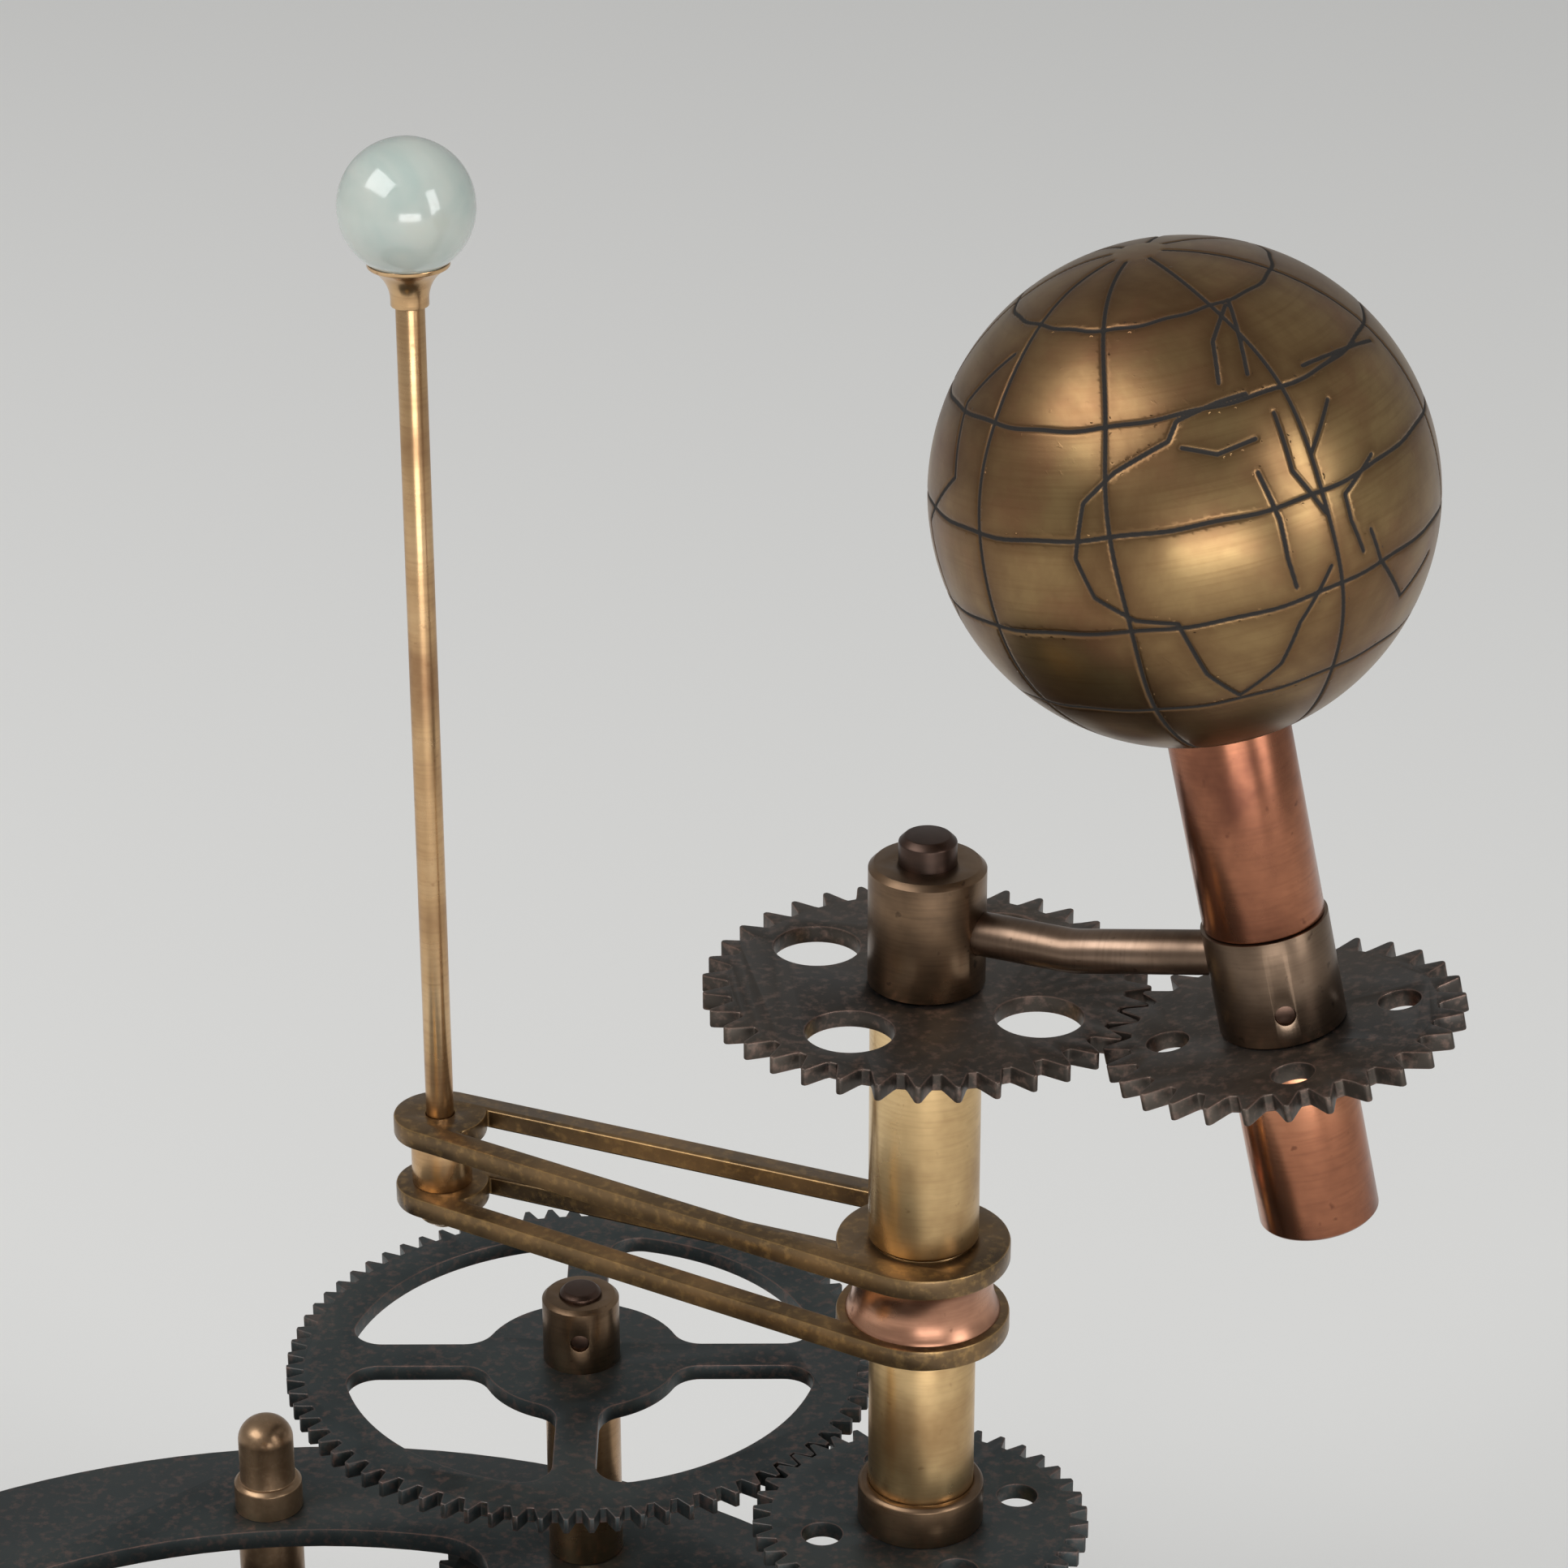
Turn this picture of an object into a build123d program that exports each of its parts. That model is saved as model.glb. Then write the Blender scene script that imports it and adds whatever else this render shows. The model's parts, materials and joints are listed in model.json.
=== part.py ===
"""Table orrery: a hand-turned carriage walks an Earth and Moon column round a central Sun.

The origin is the centre of the base's underside, +Z is up and sizes are in millimetres.
The year wheel stays still. As the carriage turns, its pinion drives the month arbor, which
turns the Moon arms through the month wheel and the Earth arm through the arm wheel.
"""

import os
from math import acos, atan2, cos, degrees, pi, radians, sin, sqrt

from build123d import *

os.makedirs("parts", exist_ok=True)

# Clearances
seat_gap = 0.02
running_gap = 0.05
end_play = 0.15

# Wheels: tooth counts and the two pitches
earth_module = 1.27
train_module = 0.9071
fixed_gear_teeth = 36
earth_gear_teeth = 28
month_wheel_teeth = 76
moon_wheel_teeth = 40
arm_wheel_teeth = 76
arm_pinion_teeth = 40
year_wheel_teeth = 142
year_pinion_teeth = 20
gear_thickness = 2.0
pinion_thickness = 4.0
addendum = 1.0
dedendum = 1.25

# Stand
base_radius = 104.0
base_top_radius = 92.0
base_height = 22.0
base_foot_height = 7.0
base_step = 3.0
post_diameter = 10.0
post_depth = 12.0
sun_radius = 15.0
sun_height = 21.0
sun_stem_diameter = 5.0
thrust_washer_thickness = 3.0
thrust_washer_radius = 11.0

# Carriage plates
plate_radius = 88.0
plate_band = 18.8
plate_thickness = 2.5
plate_spacing = 17.0
plate_spokes = 3
spoke_width = 14.0
spoke_corner = 8.0
plate_boss_radius = 15.0
lower_plate_radius = 86.0
lower_plate_holes = 6
lower_plate_hole_radius = 9.0
lower_plate_hole_circle = 42.0
hub_radius = 9.0
hub_height = 4.0
hub_flange_radius = 12.0
hub_flange_thickness = 1.5
pillar_count = 3
pillar_azimuth = 95.3
pillar_circle = 75.2
pillar_radius = 4.0
pillar_tenon_radius = 2.0
pillar_screw_radius = 1.5
pillar_screw_reach = 6.0
cap_height = 12.5
cap_base_radius = 4.2
cap_base_height = 4.0
cap_radius = 3.4
cap_socket = 3.2
screw_head_radius = 3.2
screw_head_height = 1.6
screw_slot = 0.7

# Earth and Moon column
column_radius = 78.9
column_azimuth = 23.3
column_height = 95.0
spindle_diameter = 6.3
column_tube_diameter = 9.0
foot_radius = 9.0
foot_thickness = 3.0
foot_boss_radius = 6.0
foot_screw_circle = 7.5
foot_screw_radius = 0.8
foot_screw_head = 1.3
foot_screw_count = 3
upper_sleeve_diameter = 12.2
hub_diameter = 12.7
arm_hub_height = 13.8
spindle_end = 3.2
fixed_gear_hole = 9.5
fixed_gear_hole_circle = 14.4
fixed_gear_holes = 4
fixed_gear_hole_azimuth = 54.3

# Month arbor
arbor_diameter = 5.0
arbor_post_radius = 4.5
month_wheel_height = 25.1
month_wheel_hub_radius = 4.6
month_wheel_hub_height = 8.5
month_disc_radius = 12.0
month_rim_radius = 28.5
month_spoke_width = 5.0
month_corner = 3.6
month_windows = 4
arbor_end = 0.8
small_hub_radius = 5.0
small_hub_height = 3.0
arm_wheel_drop = 3.0
year_wheel_drop = 9.0
year_wheel_holes = 6
year_wheel_hole_radius = 10.0
year_wheel_hole_circle = 38.0

# Moon arms and Moon
moon_tube_diameter = 11.9
moon_neck_diameter = 11.0
moon_hub_radius = 7.1
moon_hub_height = 5.1
moon_hole = 4.6
moon_hole_circle = 11.8
moon_holes = 4
moon_hole_azimuth = 19.0
arm_washer_radius = 7.0
arm_washer_thickness = 1.9
moon_arm_thickness = 2.5
moon_arm_gap = 6.4
moon_arm_drop = 31.7
moon_arm_eye_radius = 9.65
moon_arm_tip_radius = 5.4
moon_arm_rail = 2.6
moon_arm_reach = 62.3
moon_arm_azimuth = 152.3
spool_radius = 8.7
spool_waist = 0.9
rod_diameter = 3.2
rod_bush_radius = 3.5
rod_nut_radius = 2.9
rod_nut_height = 2.4
rod_tail = 0.9
moon_radius = 7.5
moon_height = 77.5
cup_rim_radius = 4.5
cup_height = 5.0
cup_stem_radius = 2.1
cup_socket = 1.6
cup_lip = 0.5
cup_flare = 4.2

# Earth axle, tilted on the bent arm
globe_radius = 25.4
globe_wall = 3.0
globe_distance = 60.27
axle_diameter = 6.35
axle_tilt = 11.98
axle_azimuth = 170.8
arm_azimuth = -23.7
barrel_diameter = 12.7
collar_diameter = 13.3
collar_start = 1.2
collar_end = 13.0
lower_barrel_length = 21.0
end_nut_radius = 2.9
end_nut_height = 2.3
end_nut_rim = 0.6
axle_engagement = 5.2
barrel_engagement = 1.4
earth_hole = 4.5
earth_hole_circle = 12.2
earth_holes = 4
earth_hole_azimuth = 23.0
bent_arm_diameter = 4.76
bent_arm_seat = 8.9
bent_arm_bend = 16.7
bent_arm_bend_radius = 9.0
bent_arm_clearance = 0.25
hub_screw_azimuth = 110.0
collar_screw_place = 4.7
collar_screw_azimuth = -88.0
set_screw_radius = 1.1
set_screw_recess = 0.3

# Heights above the table
washer_bottom = base_height
lower_plate_bottom = washer_bottom + thrust_washer_thickness
lower_plate_top = lower_plate_bottom + plate_thickness
upper_plate_bottom = lower_plate_top + plate_spacing
plate_top = upper_plate_bottom + plate_thickness
gear_top = plate_top + column_height
gear_bottom = gear_top - gear_thickness
wheel_bottom = plate_top + month_wheel_height
wheel_top = wheel_bottom + gear_thickness
arm_wheel_top = upper_plate_bottom - arm_wheel_drop
arm_wheel_bottom = arm_wheel_top - gear_thickness
year_wheel_top = upper_plate_bottom - year_wheel_drop
year_wheel_bottom = year_wheel_top - gear_thickness
upper_arm_top = gear_top - moon_arm_drop
upper_arm_bottom = upper_arm_top - moon_arm_thickness
lower_arm_top = upper_arm_bottom - moon_arm_gap
lower_arm_bottom = lower_arm_top - moon_arm_thickness
arm_washer_bottom = lower_arm_bottom - arm_washer_thickness
hub_bottom = gear_top + 2 * end_play
hub_top = hub_bottom + arm_hub_height

# Pitch radii and shaft places
fixed_gear_pitch = fixed_gear_teeth * earth_module / 2
earth_gear_pitch = earth_gear_teeth * earth_module / 2
month_to_column = (month_wheel_teeth + moon_wheel_teeth) * train_module / 2
month_to_post = (year_wheel_teeth + year_pinion_teeth) * train_module / 2
arbor_turn = degrees(acos(
    (column_radius**2 + month_to_post**2 - month_to_column**2) / (2 * column_radius * month_to_post)
))
arbor_azimuth = column_azimuth + arbor_turn
column_x = column_radius * cos(radians(column_azimuth))
column_y = column_radius * sin(radians(column_azimuth))
arbor_x = month_to_post * cos(radians(arbor_azimuth))
arbor_y = month_to_post * sin(radians(arbor_azimuth))
column_to_arbor = degrees(atan2(arbor_y - column_y, arbor_x - column_x))

# Directions of the tilted axle and of the arm that holds it
axle_direction = Vector(
    sin(radians(axle_tilt)) * cos(radians(axle_azimuth)),
    sin(radians(axle_tilt)) * sin(radians(axle_azimuth)),
    cos(radians(axle_tilt)),
)
arm_direction = Vector(cos(radians(arm_azimuth)), sin(radians(arm_azimuth)), 0)
gear_slope = (arm_direction - axle_direction * arm_direction.dot(axle_direction)).normalized()
gear_middle = gear_top - gear_thickness / 2
mesh_point = Vector(column_x, column_y, gear_middle) + arm_direction * fixed_gear_pitch
earth_gear_centre = mesh_point + gear_slope * earth_gear_pitch


def column_plane(height):
    return Plane(origin=(column_x, column_y, height))


def arbor_plane(height):
    return Plane(origin=(arbor_x, arbor_y, height))


def moon_plane(height):
    moon_x = column_x + moon_arm_reach * cos(radians(moon_arm_azimuth))
    moon_y = column_y + moon_arm_reach * sin(radians(moon_arm_azimuth))
    return Plane(origin=(moon_x, moon_y, height))


def axle_plane(distance):
    return Plane(
        origin=earth_gear_centre + axle_direction * distance,
        x_dir=gear_slope,
        z_dir=axle_direction,
    )


# A tooth is half-widths, in shares of the pitch, at heights in modules about the pitch circle
fine_tooth = ((-dedendum, 0.36), (addendum, 0.10))
pointed_tooth = ((-dedendum, 0.38), (-0.9, 0.31), (0.75, 0.10), (addendum, 0.05))


def tooth_points(teeth, module, tooth, first_tooth):
    """The closed outline of a wheel whose first tooth points at an azimuth in degrees."""
    points = []
    pitch_radius = teeth * module / 2
    for number in range(teeth):
        middle = radians(first_tooth) + 2 * pi * number / teeth
        flank = [(pitch_radius + height * module, share * 2 * pi / teeth) for height, share in tooth]
        rising = [(radius, middle - half) for radius, half in flank]
        falling = [(radius, middle + half) for radius, half in reversed(flank)]
        points += [(radius * cos(angle), radius * sin(angle)) for radius, angle in rising + falling]
    return points


def half_tooth(teeth):
    return 180 / teeth


# Stand: a turned base, its post and the year wheel, which never turn
with BuildPart() as base:
    with BuildSketch(Plane.XZ):
        with BuildLine():
            foot_corner = (base_radius, base_foot_height)
            cove_start = (base_radius - base_step, base_foot_height)
            cove_end = (base_top_radius, base_height - base_step)
            Polyline((0, 0), (base_radius, 0), foot_corner, cove_start)
            RadiusArc(cove_start, cove_end, base_height - base_foot_height)
            Polyline(cove_end, (base_top_radius, base_height), (0, base_height), (0, 0))
        make_face()
    revolve(axis=Axis.Z)
    fillet(base.edges().filter_by(GeomType.CIRCLE).group_by(Axis.Z)[-1], 1.2)
    with Locations((0, 0, base_height)):
        Hole(post_diameter / 2 + seat_gap, post_depth)
base.part.label = "base"
export_step(base.part, "parts/base.step")

sun_seat = plate_top + hub_height + 2 * end_play
sun_centre = plate_top + sun_height
with BuildPart() as centre_post:
    with BuildSketch(Plane.XY.offset(base_height - post_depth)):
        Circle(post_diameter / 2)
    extrude(amount=sun_seat - base_height + post_depth)
    with BuildSketch(Plane.XY.offset(sun_seat)):
        Circle(sun_stem_diameter / 2)
    extrude(amount=sun_centre - sun_seat)
    chamfer(centre_post.edges().filter_by(GeomType.CIRCLE).sort_by(Axis.Z)[-1], 0.4)
centre_post.part.label = "centre_post"
export_step(centre_post.part, "parts/centre_post.step")

with BuildPart() as sun_ball:
    with Locations((0, 0, sun_centre)):
        Sphere(sun_radius)
    with BuildSketch(Plane.XY.offset(sun_seat)):
        Circle(sun_stem_diameter / 2 + seat_gap)
    extrude(amount=sun_centre - sun_seat + seat_gap, mode=Mode.SUBTRACT)
sun_ball.part.label = "sun_ball"
export_step(sun_ball.part, "parts/sun_ball.step")

with BuildPart() as thrust_washer:
    with BuildSketch(Plane.XY.offset(washer_bottom)):
        Circle(thrust_washer_radius)
        Circle(post_diameter / 2 + seat_gap, mode=Mode.SUBTRACT)
    extrude(amount=thrust_washer_thickness - end_play)
thrust_washer.part.label = "thrust_washer"
export_step(thrust_washer.part, "parts/thrust_washer.step")

year_wheel_gap = arbor_azimuth + half_tooth(year_wheel_teeth)
with BuildPart() as year_wheel:
    with BuildSketch(Plane.XY.offset(year_wheel_bottom)):
        with BuildLine():
            Polyline(*tooth_points(year_wheel_teeth, train_module, fine_tooth, year_wheel_gap), close=True)
        make_face()
        Circle(post_diameter / 2 + seat_gap, mode=Mode.SUBTRACT)
        with PolarLocations(year_wheel_hole_circle, year_wheel_holes):
            Circle(year_wheel_hole_radius, mode=Mode.SUBTRACT)
    extrude(amount=gear_thickness)
year_wheel.part.label = "year_wheel"
export_step(year_wheel.part, "parts/year_wheel.step")

with BuildPart() as year_wheel_hub:
    with BuildSketch(Plane.XY.offset(year_wheel_top)):
        Circle(hub_radius)
        Circle(post_diameter / 2 + seat_gap, mode=Mode.SUBTRACT)
    extrude(amount=hub_height)
    chamfer(year_wheel_hub.faces().sort_by(Axis.Z)[-1].outer_wire().edges(), 0.5)
year_wheel_hub.part.label = "year_wheel_hub"
export_step(year_wheel_hub.part, "parts/year_wheel_hub.step")

# Carriage: two plates held apart by pillars, turning on the post
with BuildPart() as upper_plate:
    with BuildSketch(Plane.XY.offset(upper_plate_bottom)):
        Circle(plate_radius)
        with BuildSketch(mode=Mode.PRIVATE) as plate_windows:
            Circle(plate_radius - plate_band)
            Circle(plate_boss_radius, mode=Mode.SUBTRACT)
            with PolarLocations(plate_radius / 2, plate_spokes, start_angle=arbor_azimuth):
                Rectangle(plate_radius, spoke_width, mode=Mode.SUBTRACT)
            fillet(plate_windows.vertices(), spoke_corner)
        add(plate_windows.sketch, mode=Mode.SUBTRACT)
        Circle(hub_radius + seat_gap, mode=Mode.SUBTRACT)
        with Locations((column_x, column_y)):
            Circle(spindle_diameter / 2 + running_gap, mode=Mode.SUBTRACT)
        with Locations((arbor_x, arbor_y)):
            Circle(arbor_diameter / 2 + running_gap, mode=Mode.SUBTRACT)
        with PolarLocations(pillar_circle, pillar_count, start_angle=pillar_azimuth):
            Circle(pillar_tenon_radius + seat_gap, mode=Mode.SUBTRACT)
        with Locations((column_x, column_y)):
            with PolarLocations(foot_screw_circle, foot_screw_count, start_angle=column_azimuth + 60):
                Circle(foot_screw_radius + seat_gap, mode=Mode.SUBTRACT)
    extrude(amount=plate_thickness)
upper_plate.part.label = "upper_plate"
export_step(upper_plate.part, "parts/upper_plate.step")

with BuildPart() as lower_plate:
    with BuildSketch(Plane.XY.offset(lower_plate_bottom)):
        Circle(lower_plate_radius)
        Circle(hub_radius + seat_gap, mode=Mode.SUBTRACT)
        with PolarLocations(lower_plate_hole_circle, lower_plate_holes, start_angle=arbor_azimuth):
            Circle(lower_plate_hole_radius, mode=Mode.SUBTRACT)
        with PolarLocations(pillar_circle, pillar_count, start_angle=pillar_azimuth):
            Circle(pillar_screw_radius + seat_gap, mode=Mode.SUBTRACT)
        with Locations((column_x, column_y)):
            Circle(spindle_diameter / 2 + running_gap, mode=Mode.SUBTRACT)
        with Locations((arbor_x, arbor_y)):
            Circle(arbor_diameter / 2 + running_gap, mode=Mode.SUBTRACT)
    extrude(amount=plate_thickness)
lower_plate.part.label = "lower_plate"
export_step(lower_plate.part, "parts/lower_plate.step")

# Each hub passes through its plate and seats on it by a flange
for hub_name, plate_bottom in (("upper_hub", upper_plate_bottom), ("lower_hub", lower_plate_bottom)):
    with BuildPart() as plate_hub:
        with BuildSketch(Plane.XY.offset(plate_bottom)):
            Circle(hub_radius)
        extrude(amount=plate_thickness + hub_height)
        with BuildSketch(Plane.XY.offset(plate_bottom + plate_thickness)):
            Circle(hub_flange_radius)
        extrude(amount=hub_flange_thickness)
        chamfer(plate_hub.faces().sort_by(Axis.Z)[-1].outer_wire().edges(), 0.5)
        with BuildSketch(Plane.XY.offset(plate_bottom)):
            Circle(post_diameter / 2 + running_gap)
        extrude(amount=plate_thickness + hub_height, mode=Mode.SUBTRACT)
    plate_hub.part.label = hub_name
    export_step(plate_hub.part, f"parts/{hub_name}.step")

# Pillars: a tenon above for the cap, a screw from below
pillar_places = PolarLocations(pillar_circle, pillar_count, start_angle=pillar_azimuth).locations
for number, place in enumerate(pillar_places, start=1):
    pillar_x = place.position.X
    pillar_y = place.position.Y
    with BuildPart() as pillar:
        with BuildSketch(Plane(origin=(pillar_x, pillar_y, lower_plate_top))):
            Circle(pillar_radius)
        extrude(amount=plate_spacing)
        with BuildSketch(Plane(origin=(pillar_x, pillar_y, upper_plate_bottom))):
            Circle(pillar_tenon_radius)
        extrude(amount=plate_thickness + cap_socket - seat_gap)
        with BuildSketch(Plane(origin=(pillar_x, pillar_y, lower_plate_top))):
            Circle(pillar_screw_radius + seat_gap)
        extrude(amount=pillar_screw_reach + seat_gap, mode=Mode.SUBTRACT)
    pillar.part.label = f"pillar_{number}"
    export_step(pillar.part, f"parts/pillar_{number}.step")

    with BuildPart() as pillar_cap:
        with BuildSketch(Plane(origin=(pillar_x, pillar_y, plate_top))):
            Circle(cap_base_radius)
        extrude(amount=cap_base_height)
        chamfer(pillar_cap.faces().sort_by(Axis.Z)[-1].edges(), 0.5)
        with BuildSketch(Plane(origin=(pillar_x, pillar_y, plate_top))):
            Circle(cap_radius)
        extrude(amount=cap_height)
        fillet(pillar_cap.faces().sort_by(Axis.Z)[-1].edges(), cap_radius * 0.85)
        with BuildSketch(Plane(origin=(pillar_x, pillar_y, plate_top))):
            Circle(pillar_tenon_radius + seat_gap)
        extrude(amount=cap_socket, mode=Mode.SUBTRACT)
    pillar_cap.part.label = f"pillar_cap_{number}"
    export_step(pillar_cap.part, f"parts/pillar_cap_{number}.step")

with BuildPart() as pillar_screws:
    with BuildSketch(Plane.XY.offset(lower_plate_bottom - screw_head_height)):
        with Locations(*pillar_places):
            Circle(screw_head_radius)
    extrude(amount=screw_head_height)
    with BuildSketch(Plane.XY.offset(lower_plate_bottom)):
        with Locations(*pillar_places):
            Circle(pillar_screw_radius)
    extrude(amount=plate_thickness + pillar_screw_reach)
    with BuildSketch(Plane.XY.offset(lower_plate_bottom - screw_head_height)):
        with Locations(*pillar_places):
            Rectangle(2.2 * screw_head_radius, screw_slot)
    extrude(amount=screw_head_height / 2, mode=Mode.SUBTRACT)
pillar_screws.part.label = "pillar_screws"
export_step(pillar_screws.part, "parts/pillar_screws.step")

# Column: a tube stands in a screwed foot and carries the fixed gear on the upper sleeve
with BuildPart() as column_foot:
    with BuildSketch(column_plane(plate_top)):
        Circle(foot_radius)
    extrude(amount=foot_thickness)
    with BuildSketch(column_plane(plate_top)):
        Circle(foot_boss_radius)
    extrude(amount=month_wheel_height - end_play)
    with BuildSketch(column_plane(plate_top)):
        Circle(column_tube_diameter / 2 + seat_gap)
        with PolarLocations(foot_screw_circle, foot_screw_count, start_angle=column_azimuth + 60):
            Circle(foot_screw_radius + seat_gap)
    extrude(amount=month_wheel_height, mode=Mode.SUBTRACT)
column_foot.part.label = "column_foot"
export_step(column_foot.part, "parts/column_foot.step")

with BuildPart() as foot_screws:
    with BuildSketch(column_plane(upper_plate_bottom)):
        with PolarLocations(foot_screw_circle, foot_screw_count, start_angle=column_azimuth + 60):
            Circle(foot_screw_radius)
    extrude(amount=plate_thickness + foot_thickness)
    with BuildSketch(column_plane(plate_top + foot_thickness)):
        with PolarLocations(foot_screw_circle, foot_screw_count, start_angle=column_azimuth + 60):
            Circle(foot_screw_head)
    extrude(amount=foot_screw_head)
foot_screws.part.label = "foot_screws"
export_step(foot_screws.part, "parts/foot_screws.step")

with BuildPart() as column_tube:
    with BuildSketch(column_plane(plate_top)):
        Circle(column_tube_diameter / 2)
        Circle(spindle_diameter / 2 + running_gap, mode=Mode.SUBTRACT)
    extrude(amount=column_height)
column_tube.part.label = "column_tube"
export_step(column_tube.part, "parts/column_tube.step")

with BuildPart() as fixed_gear:
    with BuildSketch(column_plane(gear_bottom)):
        with BuildLine():
            Polyline(*tooth_points(fixed_gear_teeth, earth_module, pointed_tooth, arm_azimuth), close=True)
        make_face()
        Circle(column_tube_diameter / 2 + seat_gap, mode=Mode.SUBTRACT)
        with PolarLocations(fixed_gear_hole_circle, fixed_gear_holes, start_angle=fixed_gear_hole_azimuth):
            Circle(fixed_gear_hole / 2, mode=Mode.SUBTRACT)
    extrude(amount=gear_thickness)
fixed_gear.part.label = "fixed_gear"
export_step(fixed_gear.part, "parts/fixed_gear.step")

with BuildPart() as upper_sleeve:
    with BuildSketch(column_plane(upper_arm_top + end_play)):
        Circle(upper_sleeve_diameter / 2)
        Circle(column_tube_diameter / 2 + seat_gap, mode=Mode.SUBTRACT)
    extrude(amount=gear_bottom - upper_arm_top - end_play)
    chamfer(upper_sleeve.faces().sort_by(Axis.Z)[0].outer_wire().edges(), 0.4)
upper_sleeve.part.label = "upper_sleeve"
export_step(upper_sleeve.part, "parts/upper_sleeve.step")

# Bearing posts of the month arbor and the arm spindle
with BuildPart() as arbor_post:
    with BuildSketch(arbor_plane(plate_top)):
        Circle(arbor_post_radius)
        Circle(arbor_diameter / 2 + running_gap, mode=Mode.SUBTRACT)
    extrude(amount=month_wheel_height - end_play)
    chamfer(arbor_post.faces().sort_by(Axis.Z)[-1].outer_wire().edges(), 0.5)
arbor_post.part.label = "arbor_post"
export_step(arbor_post.part, "parts/arbor_post.step")

year_pinion_bottom = year_wheel_bottom - (pinion_thickness - gear_thickness) / 2
with BuildPart() as arbor_foot:
    with BuildSketch(arbor_plane(lower_plate_top)):
        Circle(arbor_post_radius)
        Circle(arbor_diameter / 2 + running_gap, mode=Mode.SUBTRACT)
    extrude(amount=year_pinion_bottom - end_play - lower_plate_top)
arbor_foot.part.label = "arbor_foot"
export_step(arbor_foot.part, "parts/arbor_foot.step")

with BuildPart() as spindle_foot:
    with BuildSketch(column_plane(lower_plate_top)):
        Circle(small_hub_radius)
        Circle(spindle_diameter / 2 + running_gap, mode=Mode.SUBTRACT)
    extrude(amount=arm_wheel_bottom - small_hub_height - end_play - lower_plate_top)
spindle_foot.part.label = "spindle_foot"
export_step(spindle_foot.part, "parts/spindle_foot.step")

# Month arbor: the year pinion drives it, and it drives the Moon and the Earth arm
with BuildPart() as month_arbor:
    with BuildSketch(arbor_plane(lower_plate_bottom)):
        Circle(arbor_diameter / 2)
    extrude(amount=wheel_top + month_wheel_hub_height + arbor_end - lower_plate_bottom)
    chamfer(month_arbor.faces().sort_by(Axis.Z)[-1].edges(), 0.5)
month_arbor.part.label = "month_arbor"
export_step(month_arbor.part, "parts/month_arbor.step")

month_wheel_gap = column_to_arbor + 180 + half_tooth(month_wheel_teeth)
with BuildPart() as month_wheel:
    with BuildSketch(arbor_plane(wheel_bottom)):
        with BuildLine():
            Polyline(*tooth_points(month_wheel_teeth, train_module, fine_tooth, month_wheel_gap), close=True)
        make_face()
        with BuildSketch(mode=Mode.PRIVATE) as month_openings:
            Circle(month_rim_radius)
            Circle(month_disc_radius, mode=Mode.SUBTRACT)
            with PolarLocations(month_rim_radius / 2, month_windows):
                Rectangle(month_rim_radius + month_disc_radius, month_spoke_width, mode=Mode.SUBTRACT)
            fillet(month_openings.vertices(), month_corner)
        add(month_openings.sketch, mode=Mode.SUBTRACT)
        Circle(arbor_diameter / 2 + seat_gap, mode=Mode.SUBTRACT)
    extrude(amount=gear_thickness)
month_wheel.part.label = "month_wheel"
export_step(month_wheel.part, "parts/month_wheel.step")

hub_screw_height = wheel_top + month_wheel_hub_height / 2
with BuildPart() as month_wheel_hub:
    with BuildSketch(arbor_plane(wheel_top)):
        Circle(month_wheel_hub_radius)
        Circle(arbor_diameter / 2 + seat_gap, mode=Mode.SUBTRACT)
    extrude(amount=month_wheel_hub_height)
    chamfer(month_wheel_hub.faces().sort_by(Axis.Z)[-1].outer_wire().edges(), 0.5)
    with BuildSketch(Plane(origin=(arbor_x, arbor_y, hub_screw_height), z_dir=(0, -1, 0))):
        Circle(set_screw_radius + seat_gap)
    extrude(amount=month_wheel_hub_radius + 1, mode=Mode.SUBTRACT)
month_wheel_hub.part.label = "month_wheel_hub"
export_step(month_wheel_hub.part, "parts/month_wheel_hub.step")

with BuildPart() as month_hub_screw:
    screw_start = arbor_diameter / 2 + seat_gap
    with BuildSketch(Plane(origin=(arbor_x, arbor_y - screw_start, hub_screw_height), z_dir=(0, -1, 0))):
        Circle(set_screw_radius)
    extrude(amount=month_wheel_hub_radius - set_screw_recess - screw_start)
month_hub_screw.part.label = "month_hub_screw"
export_step(month_hub_screw.part, "parts/month_hub_screw.step")

arm_pinion_tooth = column_to_arbor + 180
with BuildPart() as arm_pinion:
    with BuildSketch(arbor_plane(arm_wheel_bottom)):
        with BuildLine():
            Polyline(*tooth_points(arm_pinion_teeth, train_module, fine_tooth, arm_pinion_tooth), close=True)
        make_face()
        Circle(arbor_diameter / 2 + seat_gap, mode=Mode.SUBTRACT)
    extrude(amount=gear_thickness)
arm_pinion.part.label = "arm_pinion"
export_step(arm_pinion.part, "parts/arm_pinion.step")

year_pinion_tooth = arbor_azimuth + 180
with BuildPart() as year_pinion:
    with BuildSketch(arbor_plane(year_pinion_bottom)):
        with BuildLine():
            Polyline(*tooth_points(year_pinion_teeth, train_module, fine_tooth, year_pinion_tooth), close=True)
        make_face()
        Circle(arbor_diameter / 2 + seat_gap, mode=Mode.SUBTRACT)
    extrude(amount=pinion_thickness)
year_pinion.part.label = "year_pinion"
export_step(year_pinion.part, "parts/year_pinion.step")

with BuildPart() as arbor_spacer:
    with BuildSketch(arbor_plane(year_pinion_bottom + pinion_thickness)):
        Circle(arbor_post_radius)
        Circle(arbor_diameter / 2 + seat_gap, mode=Mode.SUBTRACT)
    extrude(amount=arm_wheel_bottom - year_pinion_bottom - pinion_thickness)
arbor_spacer.part.label = "arbor_spacer"
export_step(arbor_spacer.part, "parts/arbor_spacer.step")

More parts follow.
